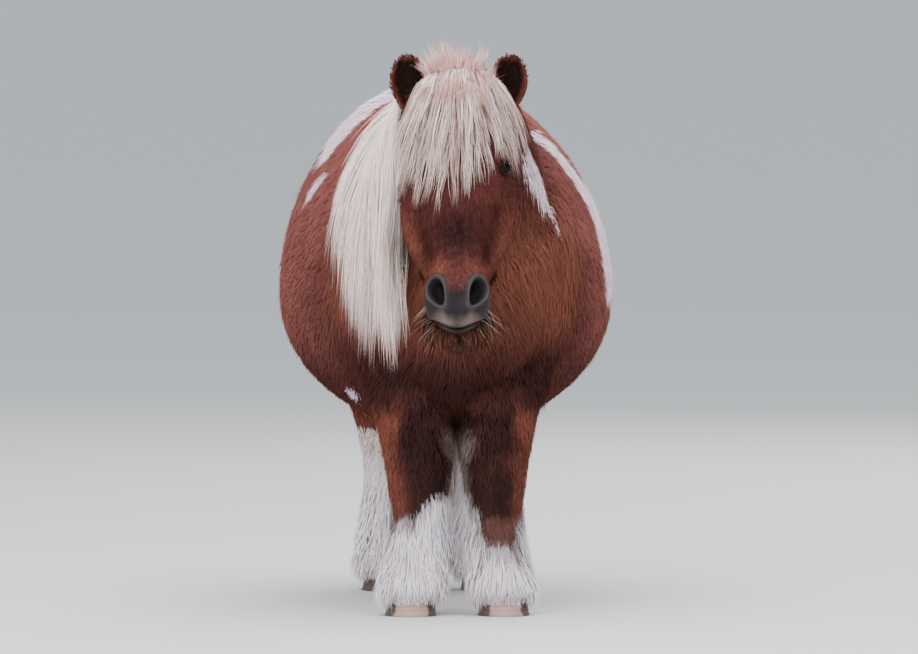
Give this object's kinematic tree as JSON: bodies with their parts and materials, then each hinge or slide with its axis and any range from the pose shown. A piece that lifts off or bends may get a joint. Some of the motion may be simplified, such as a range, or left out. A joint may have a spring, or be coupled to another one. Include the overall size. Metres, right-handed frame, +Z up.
{
  "type": "shetland pony",
  "caption": "Life-size still model of a standing Shetland pony in winter coat, with long mane and forelock, full tail and feathered feet.",
  "frame": {"origin": "on the floor, under the middle of the whole box", "axes": "+Z up, the pony faces -Y, its left side is at +X"},
  "size_m": [0.5724, 1.3664, 0.9679],
  "materials": {
    "chestnut_coat": "dense winter coat, reddish chestnut with white patches, soft sheen",
    "cream_hair": "long flaxen and cream hair, fine and slightly glossy",
    "white_coat": "long white leg hair, matte",
    "muzzle_skin": "bare dark grey skin with a pale grey lip, matte to satin",
    "horn": "pale hoof horn with growth rings and mud stains",
    "eye": "dark wet eye with a clear gloss"
  },
  "bodies": {
    "root": {"torso": "chestnut_coat", "neck": "chestnut_coat", "head": "chestnut_coat", "tail": "cream_hair", "fore_leg_left": "chestnut_coat", "hind_leg_left": "chestnut_coat", "hoof_fore_left": "horn", "hoof_hind_left": "horn", "ear_left": "chestnut_coat", "eye_left": "eye", "fore_leg_right": "chestnut_coat", "hind_leg_right": "chestnut_coat", "hoof_fore_right": "horn", "hoof_hind_right": "horn", "ear_right": "chestnut_coat", "eye_right": "eye"}
  },
  "joints": []
}
